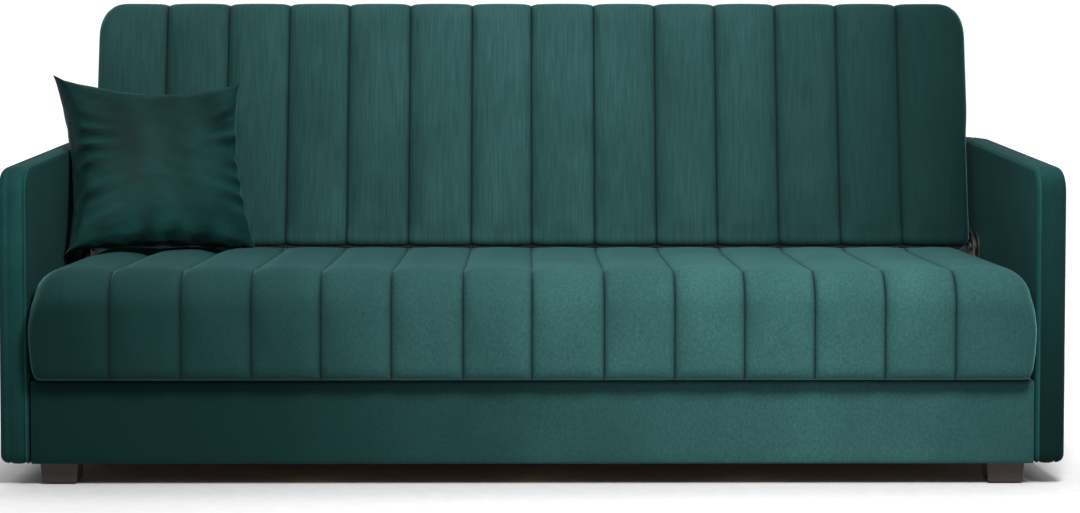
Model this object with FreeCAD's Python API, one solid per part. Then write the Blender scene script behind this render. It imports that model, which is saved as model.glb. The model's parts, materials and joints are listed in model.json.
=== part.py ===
import FreeCAD, Part
import math
import os

# A two-seater sofa bed with a bedding box.  The seat pad and the back pad share one hinge line,
# which lies on both sleeping surfaces: the back tips down level with the seat to make the bed,
# and the front of the seat lifts to open the bedding box.  Millimetres, +Z up, the front faces -Y,
# and the origin is on the floor under the middle of the sofa.

V = FreeCAD.Vector

# Overall sizes
PAD_WIDTH = 1900.0  # seat and back pads: the length of the bed
SIDE_GAP = 13.0  # pad end to arm, room for the hinge plates
ARM_THICK = 58.0
DEPTH = 880.0  # seat front to the rear of the arms
BED_HEIGHT = 420.0  # top of the seat, and of the made-up bed
SEAT_DEPTH = 610.0  # seat front to hinge line
SEAT_THICK = 213.0
BACK_LENGTH = 548.0  # hinge line to the top of the back
BACK_THICK = 150.0
BACK_LEAN = 11.8  # degrees from upright

# Pads
PAD_NEAR_GAP = 4.0  # hinge line to the end of each pad
PAD_NEAR_RADIUS = 30.0  # sleeping edge beside the hinge line
PAD_UNDER_RADIUS = 12.0
SEAT_FRONT_RADIUS = 75.0
SEAT_TUCK_RADIUS = 25.0  # bottom edge of the seat front
SEAT_CORNER_RADIUS = 20.0  # in plan
BACK_TOP_RADIUS = 40.0
BACK_CORNER_RADIUS = 50.0  # seen from the front
COVER_THICK = 2.0
COVER_MARGIN = 55.0  # cover turned under the frame
DUST_COVER_THICK = 1.0
LEAST_RADIUS = 1.0  # of a round corner moved in
OVERRUN = 2.0  # how far a cutting form reaches past what it trims
ARC_OVERRUN = 1.0  # corner arcs cross the faces they join instead of touching them

# Pad frames
RAIL_THICK = 22.0
SEAT_RAIL_HEIGHT = 60.0
BACK_RAIL_HEIGHT = 45.0
CROSS_RAIL_DROP = 12.0  # cross rails stay clear of the springs
END_PADDING = 10.0  # foam over the end rails
NEAR_PADDING = 10.0  # foam over the rail beside the hinge line
FRONT_PADDING = 43.0  # foam over the front rail or the top rail
CROSS_RAIL_SPACING = 600.0
SPRING_COUNT = 8
SPRING_WIRE_RADIUS = 1.9
SPRING_BEND_RADIUS = 12.0
SPRING_WIDTH = 50.0
SPRING_LIFT = 1.0  # wire above the rails
CLIP_LENGTH = 16.0
CLIP_WIDTH = 16.0
CLIP_HEIGHT = 6.0
CLIP_BEYOND = 3.0  # past the last bend of the spring
FELT_THICK = 5.0
FELT_GAP = 1.0
WEBBING_COUNT = 10
WEBBING_WIDTH = 60.0
WEBBING_THICK = 2.0

# Bedding box and feet
FOOT_HEIGHT = 43.0
FRONT_SETBACK = 40.0  # seat front to the front of the arms and of the box
REAR_SETBACK = 20.0  # rear of the arms to the back of the box
SEAT_REST_GAP = 4.0  # box top to the underside of the seat
RUNNING_GAP = 0.3  # between faces on different bodies
BOARD_THICK = 18.0
FASCIA_PADDING = 8.0
FASCIA_TURN_IN = 25.0
BLOCK_SIZE = 70.0
BLOCK_HEIGHT = 20.0
FLOOR_THICK = 4.0
BATTEN_WIDTH = 40.0
BATTEN_SPACING = 420.0
REST_PAD_LENGTH = 40.0
FRONT_REST_COUNT = 4
SIDE_REST_PLACES = (0.35, 0.7)  # shares of the seat depth, from the front
REST_PAD_INSET = 2.0  # side rests stop short of the end of the seat
LINING_THICK = 1.5
FOOT_TOP = (73.0, 60.0)  # width, depth
FOOT_TAPER = 3.5  # each side
FOOT_INSET = 51.0  # foot centre to the arm's inner face
FOOT_SETBACK = 25.0  # box front to foot
GLIDE_HEIGHT = 3.0
GLIDE_RADIUS = 22.0
FOOT_BOLT_RADIUS = 4.0
FOOT_BOLT_RISE = 2.0  # above the glide

# Arms
ARM_FRONT_TOP = 609.0
ARM_REAR_TOP = 652.0
ARM_SLOPE_END = 140.0  # the slope ends this far from the rear
ARM_SLOPE_RADIUS = 200.0
ARM_LEVEL_DROP = 1.0  # the part behind the slope is almost level
ARM_FRONT_RADIUS = 50.0
ARM_REAR_RADIUS = 22.0
ARM_FOOT_RADIUS = 6.0
ARM_CORE_THICK = 30.0
ARM_CORE_INSET = 12.0
ARM_BOLT_RADIUS = 4.0
ARM_BOLT_HEAD = (9.0, 5.0)  # radius, height
ARM_BOLT_RISE = (38.0, 112.0)  # above the underside of the box
ARM_BOLT_INSET = 70.0  # from the ends of the box side
ARM_BOLT_SHORT = 5.0  # its tip stops inside the arm core
ARM_WASHER_RADIUS = 12.0

# Hinge plates
PLATE_THICK = 3.0
PLATE_WIDTH = 44.0
BASE_PLATE_WIDTH = 60.0
RIVET_RADIUS = 6.0
RIVET_CLEARANCE = 0.05
RIVET_HEAD = (9.0, 4.5)  # radius, height
SCREW_RADIUS = 2.5
SCREW_HEAD_RADIUS = 5.0
SCREW_LENGTH = 34.0
SHORT_SCREW_LENGTH = 16.0
KNEE_REACH = 70.0  # hinge line to the bend of a pad's plate
PLATE_REACH = 190.0  # hinge line to the end of a pad's plate
PAD_SCREW_SHARES = (0.0, 0.5, 1.0)  # from the bend to the end
ARM_SCREW_SHARES = (0.3, 0.55, 0.8)  # from the box top to the hinge line
BOX_SCREW_SPREAD = 35.0  # above and below the middle of the box side
BASE_PLATE_DROP = 50.0  # its lower end, below the middle of the box side
SPACER_WALL = 7.0
SEAM_OVERLAP = 0.1  # how far a shank runs into its head

# Loose pillow
PILLOW_WIDTH = 405.0
PILLOW_HEIGHT = 385.0
PILLOW_THICK = 140.0
PILLOW_HOLLOW = 18.0  # how far each edge pulls in between the corners
PILLOW_FACE = 0.5  # flattest part of each face, as a share of the pillow
PILLOW_YAW = 28.4
PILLOW_LEAN = 18.9
PILLOW_ROLL = 1.9
PILLOW_BACK_DISTANCE = 31.0  # its upper right corner to the back pad
PILLOW_CLEARANCE = 1.0
PILLOW_LIFT = 4.0  # lowest corner above the seat
PILLOW_ZIP = (220.0, 6.0)  # length, width

# Places worked out from the sizes above
FRONT_Y = -DEPTH / 2
REAR_Y = DEPTH / 2
HINGE_Y = FRONT_Y + SEAT_DEPTH
PAD_END = PAD_WIDTH / 2
ARM_INNER = PAD_END + SIDE_GAP
ARM_OUTER = ARM_INNER + ARM_THICK
SEAT_UNDER = BED_HEIGHT - SEAT_THICK
BOX_TOP = SEAT_UNDER - SEAT_REST_GAP
BOX_FRONT = FRONT_Y + FRONT_SETBACK
BOX_REAR = REAR_Y - REAR_SETBACK
BOX_SIDE = ARM_INNER - PLATE_THICK
FLOOR_Z = FOOT_HEIGHT + BLOCK_HEIGHT
FRONT_BOARD_Y = BOX_FRONT + COVER_THICK + FASCIA_PADDING
SIDE_BOARD_Y = FRONT_BOARD_Y + BOARD_THICK + COVER_THICK
REAR_BOARD_Y = BOX_REAR - LINING_THICK - BOARD_THICK
UPRIGHT_TURN = 90.0 - BACK_LEAN
SIDES = {"left": -1, "right": 1}

nodes = {}


def box(x, y, z):
    """A block from three (low, high) pairs."""
    low = V(x[0], y[0], z[0])
    return Part.makeBox(x[1] - x[0], y[1] - y[0], z[1] - z[0], low)


def spread(a, b):
    return (min(a, b), max(a, b))


def mirrored(sign, x):
    """An (inner, outer) pair of distances from the middle, on the side given by sign."""
    return spread(sign * x[0], sign * x[1])


def inset_corners(corners, inset):
    """A convex outline with every side moved in by inset."""
    middle = sum((V(*c, 0) for c in corners), V()) / len(corners)
    lines = []
    for here, there in zip(corners, corners[1:] + corners[:1]):
        start = V(*here, 0)
        run = (V(*there, 0) - start).normalize()
        inward = V(-run.y, run.x, 0)
        if inward.dot(middle - start) < 0:
            inward = -inward
        lines.append((start + inward * inset, run))
    moved = []
    for (p, a), (q, b) in zip(lines[-1:] + lines[:-1], lines):
        cross = a.x * b.y - a.y * b.x
        gap = q - p
        along = (gap.x * b.y - gap.y * b.x) / cross
        moved.append(((p + a * along).x, (p + a * along).y))
    return moved


def rounded_face(corners, radii, x):
    """A face seen from the side, (y, z), with each corner rounded by its own radius."""
    joints = []
    count = len(corners)
    for i, radius in enumerate(radii):
        here = V(*corners[i], 0)
        back = (V(*corners[i - 1], 0) - here).normalize()
        ahead = (V(*corners[(i + 1) % count], 0) - here).normalize()
        half = back.getAngle(ahead) / 2
        setback = radius / math.tan(half)
        middle = (back + ahead).normalize() * (radius / math.sin(half) - radius)
        joints.append((here + back * setback, here + middle, here + ahead * setback))
    edges = []
    for i, (start, middle, end) in enumerate(joints):
        points = [V(x, p.x, p.y) for p in (start, middle, end)]
        edges.append(Part.Arc(*points).toShape())
        following = joints[(i + 1) % count][0]
        edges.append(Part.makeLine(points[2], V(x, following.x, following.y)))
    return Part.Face(Part.Wire(edges))


def side_prism(corners, radii, x, inset=0.0):
    """An outline seen from the side, (y, z), pulled out from x[0] to x[1]."""
    shrunk = inset_corners(corners, inset)
    radii = [max(r - inset, LEAST_RADIUS) for r in radii]
    face = rounded_face(shrunk, radii, x[0] + inset)
    return face.extrude(V(x[1] - x[0] - 2 * inset, 0, 0))


def pin(radius, x, y, z):
    """A round bar along X."""
    return Part.makeCylinder(radius, x[1] - x[0], V(x[0], y, z), V(1, 0, 0))


def strap(points, width, x):
    """A flat plate with round ends along a line of (y, z) points."""
    pieces = [pin(width / 2, x, y, z) for y, z in points]
    for (y0, z0), (y1, z1) in zip(points, points[1:]):
        run = V(0, y1 - y0, z1 - z0)
        tilt = math.degrees(math.atan2(run.z, run.y))
        bar = Part.makeBox(x[1] - x[0], run.Length, width, V(0, 0, -width / 2))
        bar.Placement = FreeCAD.Placement(V(x[0], y0, z0), FreeCAD.Rotation(V(1, 0, 0), tilt))
        pieces.append(bar)
    return pieces[0].fuse(pieces[1:]).removeSplitter()


def countersunk_screw(face_x, outward, y, z, length):
    """A screw along X whose head is flush with face_x; outward is the way its tip points."""
    sink = SCREW_HEAD_RADIUS - SCREW_RADIUS
    axis = V(outward, 0, 0)
    head = Part.makeCone(SCREW_HEAD_RADIUS, SCREW_RADIUS, sink, V(face_x, y, z), axis)
    shank = Part.makeCylinder(SCREW_RADIUS, length, V(face_x, y, z), axis)
    return head.fuse(shank).removeSplitter()


def stand_up(shape):
    """Turn the back from the made-up bed to its upright place."""
    turned = shape.copy()
    turned.rotate(V(0, HINGE_Y, BED_HEIGHT), V(1, 0, 0), UPRIGHT_TURN)
    return turned


# Seat and back pads, both built lying flat as the made-up bed


class Pad:
    """One pad; away is -1 for the seat, in front of the hinge line, and 1 for the back."""

    def __init__(self, name, away, length, thick, rail_height, far_radii, corner_radius):
        self.name = name
        self.away = away
        self.rail_height = rail_height
        self.under = BED_HEIGHT - thick
        self.near = HINGE_Y + away * PAD_NEAR_GAP
        self.far = HINGE_Y + away * length
        self.far_radii = far_radii
        self.corner_radius = corner_radius
        self.rail_base = self.under + COVER_THICK
        self.rail_top = self.rail_base + rail_height
        self.rail_near = self.near - away * (-COVER_THICK - NEAR_PADDING)
        self.rail_far = self.far - away * (COVER_THICK + FRONT_PADDING)
        self.rail_end = PAD_END - COVER_THICK - END_PADDING

    def solid(self, inset):
        """The pad's outer form, moved in all round by inset."""
        top, under = BED_HEIGHT - inset, self.under + inset
        near, far = self.near + self.away * inset, self.far - self.away * inset
        end = PAD_END - inset
        side = [(near, top), (far, top), (far, under), (near, under)]
        side_radii = [PAD_NEAR_RADIUS, *self.far_radii, PAD_UNDER_RADIUS]
        form = side_prism(side, [r - inset for r in side_radii], (-end, end))
        z = (under - OVERRUN, top + OVERRUN)
        radius = self.corner_radius - inset
        return form.cut([self.corner_waste(sign, end, far, radius, z) for sign in SIDES.values()])

    def corner_waste(self, sign, end, far, radius, z):
        """What a round corner leaves outside it, seen from above; its arc runs out through both faces."""
        x = mirrored(sign, (end - radius, end + OVERRUN))
        y = spread(far - self.away * radius, far + self.away * OVERRUN)
        middle = V(sign * (end - radius), far - self.away * radius, z[0])
        return box(x, y, z).cut(Part.makeCylinder(radius + ARC_OVERRUN, z[1] - z[0], middle))

    def rail_box(self, x, y_from, y_to, drop=0.0):
        z = (self.rail_base, self.rail_top - drop)
        return box(x, spread(y_from, y_to), z)

    def rails(self):
        inner_near = self.rail_near + self.away * RAIL_THICK
        inner_far = self.rail_far - self.away * RAIL_THICK
        across = (-self.rail_end, self.rail_end)
        far_name = "front" if self.away < 0 else "top"
        near_name = "rear" if self.away < 0 else "bottom"
        made = {
            f"{self.name}_rail_{near_name}": self.rail_box(across, self.rail_near, inner_near),
            f"{self.name}_rail_{far_name}": self.rail_box(across, self.rail_far, inner_far),
        }
        for side, sign in SIDES.items():
            x = spread(sign * self.rail_end, sign * (self.rail_end - RAIL_THICK))
            made[f"{self.name}_rail_{side}"] = self.rail_box(x, inner_near, inner_far)
        crosses = []
        for middle in (-CROSS_RAIL_SPACING / 2, CROSS_RAIL_SPACING / 2):
            x = (middle - RAIL_THICK / 2, middle + RAIL_THICK / 2)
            crosses.append(self.rail_box(x, inner_near, inner_far, CROSS_RAIL_DROP))
        made[f"{self.name}_cross_rails"] = Part.makeCompound(crosses)
        return made

    def cavity(self, top):
        """The room inside the foam for the frame and what lies on it."""
        x = (-self.rail_end, self.rail_end)
        return box(x, spread(self.rail_near, self.rail_far), (self.under, top))

    def soft_parts(self, cavity_top):
        """Foam, cover and dust cover round a frame whose cavity ends at cavity_top."""
        outer = self.solid(0.0)
        inner = self.solid(COVER_THICK)
        margin_near = self.near + self.away * COVER_MARGIN
        margin_far = self.far - self.away * COVER_MARGIN
        x = (-PAD_END + COVER_MARGIN, PAD_END - COVER_MARGIN)
        y = spread(margin_near, margin_far)
        mouth = box(x, y, (self.under, self.rail_base))
        dust = box(x, y, (self.rail_base - DUST_COVER_THICK, self.rail_base))
        return {
            f"{self.name}_foam": inner.cut(self.cavity(cavity_top)),
            f"{self.name}_cover": outer.cut(inner).cut(mouth),
            f"{self.name}_dust_cover": dust,
        }


def zigzag_spring(x, y_from, y_to, z):
    """A flat zigzag wire spring along Y."""
    half = SPRING_WIDTH / 2 - SPRING_BEND_RADIUS
    pitch = 2 * SPRING_BEND_RADIUS
    loops = int((y_to - y_from - 2 * CLIP_LENGTH) / pitch)
    start = (y_from + y_to) / 2 - loops * pitch / 2
    edges = []
    for i in range(loops + 1):
        sign = 1 if i % 2 == 0 else -1
        y = start + i * pitch
        a = V(x - sign * half, y, z)
        b = V(x + sign * half, y, z)
        edges.append(Part.makeLine(a, b))
        if i < loops:
            bulge = V(x + sign * (half + SPRING_BEND_RADIUS), y + pitch / 2, z)
            edges.append(Part.Arc(b, bulge, b + V(0, pitch, 0)).toShape())
    path = Part.Wire(edges)
    first = V(x - half, start, z)
    profile = Part.Wire(Part.makeCircle(SPRING_WIRE_RADIUS, first, V(1, 0, 0)))
    return path.makePipeShell([profile], True, False)


def even_places(low, high, count):
    """Middles of count equal shares of the stretch from low to high."""
    step = (high - low) / count
    return [low + step * (i + 0.5) for i in range(count)]


def seat_springs(pad):
    """Zigzag springs on the seat frame, their clips, and the felt over them."""
    y_from, y_to = spread(pad.rail_near, pad.rail_far)
    y_from += RAIL_THICK
    y_to -= RAIL_THICK
    z = pad.rail_top + SPRING_WIRE_RADIUS + SPRING_LIFT
    springs, clips = [], []
    inside = pad.rail_end - RAIL_THICK
    for x in even_places(-inside, inside, SPRING_COUNT):
        spring = zigzag_spring(x, y_from - CLIP_LENGTH, y_to + CLIP_LENGTH, z)
        springs.append(spring)
        low, high = spring.BoundBox.YMin, spring.BoundBox.YMax
        for start in (low - CLIP_BEYOND, high + CLIP_BEYOND - CLIP_LENGTH):
            clip_x = (x - CLIP_WIDTH / 2, x + CLIP_WIDTH / 2)
            clip_z = (pad.rail_top, pad.rail_top + CLIP_HEIGHT)
            block = box(clip_x, (start, start + CLIP_LENGTH), clip_z)
            clips.append(block.cut(spring))
    felt_base = pad.rail_top + CLIP_HEIGHT + FELT_GAP
    x = (-pad.rail_end, pad.rail_end)
    felt = box(x, spread(pad.rail_near, pad.rail_far), (felt_base, felt_base + FELT_THICK))
    made = {
        "seat_springs": Part.makeCompound(springs),
        "seat_spring_clips": Part.makeCompound(clips),
        "seat_felt": felt,
    }
    return made, felt_base + FELT_THICK


def back_webbing(pad):
    """Elastic webbing bands over the back frame, from rail to rail."""
    bands = []
    y = spread(pad.rail_near, pad.rail_far)
    z = (pad.rail_top, pad.rail_top + WEBBING_THICK)
    for x in even_places(-pad.rail_end, pad.rail_end, WEBBING_COUNT):
        bands.append(box((x - WEBBING_WIDTH / 2, x + WEBBING_WIDTH / 2), y, z))
    return {"back_webbing": Part.makeCompound(bands)}, pad.rail_top + WEBBING_THICK


seat = Pad(
    "seat",
    -1,
    SEAT_DEPTH,
    SEAT_THICK,
    SEAT_RAIL_HEIGHT,
    (SEAT_FRONT_RADIUS, SEAT_TUCK_RADIUS),
    SEAT_CORNER_RADIUS,
)
back = Pad(
    "back",
    1,
    BACK_LENGTH,
    BACK_THICK,
    BACK_RAIL_HEIGHT,
    (BACK_TOP_RADIUS, BACK_TOP_RADIUS),
    BACK_CORNER_RADIUS,
)
seat_nodes = seat.rails()
springs_made, seat_cavity_top = seat_springs(seat)
seat_nodes.update(springs_made)
seat_nodes.update(seat.soft_parts(seat_cavity_top))
back_nodes = back.rails()
webbing_made, back_cavity_top = back_webbing(back)
back_nodes.update(webbing_made)
back_nodes.update(back.soft_parts(back_cavity_top))

# Hinges: on each side a seat plate, a back plate and a base plate turn on one rivet

SEAT_PLATE_X = (PAD_END + RUNNING_GAP, PAD_END + RUNNING_GAP + PLATE_THICK)
BACK_PLATE_X = (SEAT_PLATE_X[1] + RUNNING_GAP, SEAT_PLATE_X[1] + RUNNING_GAP + PLATE_THICK)
SPACER_X = (BACK_PLATE_X[1] + RUNNING_GAP, BOX_SIDE)
BASE_PLATE_X = (BOX_SIDE, ARM_INNER)


def rivet_pin(radius, sign, x):
    """A round bar on the hinge line, between two distances from the middle of the sofa."""
    return pin(radius, mirrored(sign, x), HINGE_Y, BED_HEIGHT)


def hinge_knee(pad):
    """The bend and the end of a pad's hinge plate, on the middle of its end rail."""
    z = (pad.rail_base + pad.rail_top) / 2
    knee = (HINGE_Y + pad.away * KNEE_REACH, z)
    end = (HINGE_Y + pad.away * PLATE_REACH, z)
    return knee, end


def pad_plate(pad, plate_x, sign):
    """A pad's hinge plate and the screws that hold it, in the made-up-bed position."""
    knee, end = hinge_knee(pad)
    plate = strap([(HINGE_Y, BED_HEIGHT), knee, end], PLATE_WIDTH, mirrored(sign, plate_x))
    bore = rivet_pin(RIVET_RADIUS + RIVET_CLEARANCE, sign, (PAD_END, ARM_OUTER))
    screws = []
    for share in PAD_SCREW_SHARES:
        y = knee[0] + (end[0] - knee[0]) * share
        screws.append(countersunk_screw(sign * plate_x[1], -sign, y, knee[1], SCREW_LENGTH))
    return plate.cut([bore] + screws), screws


def fit_pad_hinges(pad, pad_nodes, plate_x):
    """Add a pad's plates and screws, and make the screw holes in what they pass through."""
    all_screws = []
    for side, sign in SIDES.items():
        plate, screws = pad_plate(pad, plate_x, sign)
        pad_nodes[f"{pad.name}_hinge_plate_{side}"] = plate
        all_screws += screws
        rail = f"{pad.name}_rail_{side}"
        pad_nodes[rail] = pad_nodes[rail].cut(screws)
    for soft in ("foam", "cover"):
        node = f"{pad.name}_{soft}"
        pad_nodes[node] = pad_nodes[node].cut(all_screws)
    pad_nodes[f"{pad.name}_plate_screws"] = Part.makeCompound(all_screws)


fit_pad_hinges(seat, seat_nodes, SEAT_PLATE_X)
fit_pad_hinges(back, back_nodes, BACK_PLATE_X)
nodes.update(seat_nodes)
for name, shape in back_nodes.items():
    nodes[name] = stand_up(shape)


def base_plate_screws(sign):
    """Short screws into the box side, and long ones into the arm above it."""
    made = []
    box_middle = (FLOOR_Z + BOX_TOP) / 2
    for z in (box_middle - BOX_SCREW_SPREAD, box_middle + BOX_SCREW_SPREAD):
        made.append(countersunk_screw(sign * ARM_INNER, -sign, HINGE_Y, z, SHORT_SCREW_LENGTH))
    for share in ARM_SCREW_SHARES:
        z = BOX_TOP + (BED_HEIGHT - BOX_TOP) * share
        made.append(countersunk_screw(sign * BOX_SIDE, sign, HINGE_Y, z, SCREW_LENGTH))
    return made


plate_screws = {side: base_plate_screws(sign) for side, sign in SIDES.items()}
rivets, spacers = [], []
for side, sign in SIDES.items():
    foot_z = (FLOOR_Z + BOX_TOP) / 2 - BASE_PLATE_DROP
    path = [(HINGE_Y, BED_HEIGHT), (HINGE_Y, foot_z)]
    plate = strap(path, BASE_PLATE_WIDTH, mirrored(sign, BASE_PLATE_X))
    bore = rivet_pin(RIVET_RADIUS, sign, (PAD_END, ARM_OUTER))
    nodes[f"base_hinge_plate_{side}"] = plate.cut([bore] + plate_screws[side])
    shank = rivet_pin(RIVET_RADIUS, sign, (PAD_END - SEAM_OVERLAP, ARM_INNER))
    head_radius, head_height = RIVET_HEAD
    head = rivet_pin(head_radius, sign, (PAD_END - head_height, PAD_END))
    rivets.append(shank.fuse(head).removeSplitter())
    spacers.append(rivet_pin(RIVET_RADIUS + SPACER_WALL, sign, SPACER_X).cut(bore))
nodes["hinge_rivets"] = Part.makeCompound(rivets)
nodes["hinge_spacers"] = Part.makeCompound(spacers)
nodes["base_plate_screws"] = Part.makeCompound(plate_screws["left"] + plate_screws["right"])

# Arms: a board core, foam round it, and a cover sewn shut over both


def arm_outline():
    slope_end = REAR_Y - ARM_SLOPE_END
    corners = [
        (BOX_FRONT, FOOT_HEIGHT),
        (BOX_FRONT, ARM_FRONT_TOP),
        (slope_end, ARM_REAR_TOP - ARM_LEVEL_DROP),
        (REAR_Y, ARM_REAR_TOP),
        (REAR_Y, FOOT_HEIGHT),
    ]
    radii = [ARM_FOOT_RADIUS, ARM_FRONT_RADIUS, ARM_SLOPE_RADIUS, ARM_REAR_RADIUS, ARM_FOOT_RADIUS]
    return corners, radii


def arm_form(sign, inset):
    corners, radii = arm_outline()
    return side_prism(corners, radii, mirrored(sign, (ARM_INNER, ARM_OUTER)), inset)


def arm_bolt_places():
    """Where the arm bolts cross the box side, as (y, z)."""
    front = SIDE_BOARD_Y + ARM_BOLT_INSET
    rear = REAR_BOARD_Y - ARM_BOLT_INSET
    return [(y, FOOT_HEIGHT + rise) for y in (front, rear) for rise in ARM_BOLT_RISE]


def arm_bolt(sign, y, z):
    inside = BOX_SIDE - BOARD_THICK
    tip = ARM_INNER + (ARM_THICK + ARM_CORE_THICK) / 2 - ARM_BOLT_SHORT
    shank = pin(ARM_BOLT_RADIUS, mirrored(sign, (inside - SEAM_OVERLAP, tip)), y, z)
    radius, height = ARM_BOLT_HEAD
    head = pin(radius, mirrored(sign, (inside - height, inside)), y, z)
    return shank.fuse(head).removeSplitter()


arm_bolts, arm_washers = [], []
for side, sign in SIDES.items():
    bolts = [arm_bolt(sign, y, z) for y, z in arm_bolt_places()]
    arm_bolts += bolts
    washer_x = mirrored(sign, (BOX_SIDE, ARM_INNER))
    for y, z in arm_bolt_places():
        washer = pin(ARM_WASHER_RADIUS, washer_x, y, z)
        arm_washers.append(washer.cut(pin(ARM_BOLT_RADIUS, washer_x, y, z)))
    tools = bolts + plate_screws[side]
    core_x = (
        ARM_INNER + (ARM_THICK - ARM_CORE_THICK) / 2,
        ARM_INNER + (ARM_THICK + ARM_CORE_THICK) / 2,
    )
    outer = arm_form(sign, 0.0)
    inner = arm_form(sign, COVER_THICK)
    corners, radii = arm_outline()
    core_corners = inset_corners(corners, ARM_CORE_INSET)
    core_radii = [max(r - ARM_CORE_INSET, LEAST_RADIUS) for r in radii]
    core = side_prism(core_corners, core_radii, mirrored(sign, core_x))
    nodes[f"arm_core_{side}"] = core.cut(tools)
    nodes[f"arm_padding_{side}"] = inner.cut(core).cut(tools)
    nodes[f"arm_cover_{side}"] = outer.cut(inner).cut(tools)
nodes["arm_bolts"] = Part.makeCompound(arm_bolts)
nodes["arm_washers"] = Part.makeCompound(arm_washers)

# Bedding box: boards, floor, covered front and lined rear

board_z = (FOOT_HEIGHT + COVER_THICK, BOX_TOP - COVER_THICK)
front_board_y = (FRONT_BOARD_Y, FRONT_BOARD_Y + BOARD_THICK)
across = (-BOX_SIDE, BOX_SIDE)
nodes["front_board"] = box(across, front_board_y, board_z)
nodes["fascia_padding"] = box(across, (FRONT_BOARD_Y - FASCIA_PADDING, FRONT_BOARD_Y), board_z)
wrap = box(across, (BOX_FRONT, SIDE_BOARD_Y), (FOOT_HEIGHT, BOX_TOP))
wrap = wrap.cut(box(across, (BOX_FRONT + COVER_THICK, front_board_y[1]), board_z))
open_z = (board_z[0] + FASCIA_TURN_IN, board_z[1] - FASCIA_TURN_IN)
nodes["fascia_cover"] = wrap.cut(box(across, (front_board_y[1], SIDE_BOARD_Y), open_z))
nodes["rear_board"] = box(across, (REAR_BOARD_Y, REAR_BOARD_Y + BOARD_THICK), (FOOT_HEIGHT, BOX_TOP))
rear_lining_y = (REAR_BOARD_Y + BOARD_THICK, BOX_REAR)
nodes["rear_lining"] = box(across, rear_lining_y, (FOOT_HEIGHT, BOX_TOP))
for side, sign in SIDES.items():
    x = mirrored(sign, (BOX_SIDE - BOARD_THICK, BOX_SIDE))
    board = box(x, (SIDE_BOARD_Y, REAR_BOARD_Y), (FOOT_HEIGHT, BOX_TOP))
    nodes[f"side_board_{side}"] = board.cut(arm_bolts + plate_screws[side])

inside_x = BOX_SIDE - BOARD_THICK
nodes["floor_panel"] = box(
    (-inside_x, inside_x),
    (SIDE_BOARD_Y, REAR_BOARD_Y),
    (FLOOR_Z, FLOOR_Z + FLOOR_THICK),
)
batten_z = (FOOT_HEIGHT, FLOOR_Z)
batten_y = (SIDE_BOARD_Y, REAR_BOARD_Y)
battens = []
for x in (-BATTEN_SPACING, 0.0, BATTEN_SPACING):
    battens.append(box((x - BATTEN_WIDTH / 2, x + BATTEN_WIDTH / 2), batten_y, batten_z))
nodes["floor_battens"] = Part.makeCompound(battens)

# Feet: a corner block, a tapered foot, its bolt and a glide at each corner


def foot_places():
    """Foot centres and the y range of the block above each, by name."""
    x = ARM_INNER - FOOT_INSET
    front = BOX_FRONT + FOOT_SETBACK + FOOT_TOP[1] / 2
    rear = BOX_REAR - FOOT_SETBACK - FOOT_TOP[1] / 2
    made = {}
    for side, sign in SIDES.items():
        made[f"front_{side}"] = (sign, sign * x, front, (SIDE_BOARD_Y, SIDE_BOARD_Y + BLOCK_SIZE))
        made[f"rear_{side}"] = (sign, sign * x, rear, (REAR_BOARD_Y - BLOCK_SIZE, REAR_BOARD_Y))
    return made


def rectangle(width, depth, x, y, z):
    corners = [(-1, -1), (1, -1), (1, 1), (-1, 1), (-1, -1)]
    return Part.makePolygon([V(x + a * width / 2, y + b * depth / 2, z) for a, b in corners])


blocks, foot_bolts, glides = [], [], []
for name, (sign, x, y, block_y) in foot_places().items():
    bolt_z = GLIDE_HEIGHT + FOOT_BOLT_RISE
    bolt = Part.makeCylinder(FOOT_BOLT_RADIUS, FLOOR_Z - bolt_z, V(x, y, bolt_z))
    foot_bolts.append(bolt)
    block = box(mirrored(sign, (inside_x - BLOCK_SIZE, inside_x)), block_y, batten_z)
    blocks.append(block.cut(bolt))
    width, depth = FOOT_TOP
    top = rectangle(width, depth, x, y, FOOT_HEIGHT)
    bottom = rectangle(width - 2 * FOOT_TAPER, depth - 2 * FOOT_TAPER, x, y, GLIDE_HEIGHT)
    nodes[f"foot_{name}"] = Part.makeLoft([bottom, top], True, True).cut(bolt)
    glides.append(Part.makeCylinder(GLIDE_RADIUS, GLIDE_HEIGHT, V(x, y, 0)))
nodes["corner_blocks"] = Part.makeCompound(blocks)
nodes["foot_bolts"] = Part.makeCompound(foot_bolts)
nodes["foot_glides"] = Part.makeCompound(glides)

# Felt rests on the box, just under the seat

rest_z = (BOX_TOP, SEAT_UNDER - RUNNING_GAP)
rests = []
for x in even_places(-inside_x, inside_x, FRONT_REST_COUNT):
    rests.append(box((x - REST_PAD_LENGTH / 2, x + REST_PAD_LENGTH / 2), front_board_y, rest_z))
for sign in SIDES.values():
    x = mirrored(sign, (BOX_SIDE - BOARD_THICK, PAD_END - REST_PAD_INSET))
    for share in SIDE_REST_PLACES:
        y = FRONT_Y + SEAT_DEPTH * share
        rests.append(box(x, (y, y + REST_PAD_LENGTH), rest_z))
nodes["seat_rests"] = Part.makeCompound(rests)

# Loose pillow, leaning in the corner of the left arm and the back


def pillow_ring(share, y, inset):
    """One section of the pillow: a square whose sides pull in between its corners."""
    half_w = (PILLOW_WIDTH / 2 - inset) * share
    half_h = (PILLOW_HEIGHT / 2 - inset) * share
    hollow = PILLOW_HOLLOW * share
    corners = [(-half_w, -half_h), (half_w, -half_h), (half_w, half_h), (-half_w, half_h)]
    middles = [(0, hollow - half_h), (half_w - hollow, 0), (0, half_h - hollow), (hollow - half_w, 0)]
    edges = []
    for here, middle, there in zip(corners, middles, corners[1:] + corners[:1]):
        points = [V(a, y, b) for a, b in (here, middle, there)]
        edges.append(Part.Arc(*points).toShape())
    return Part.Wire(edges)


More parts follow.
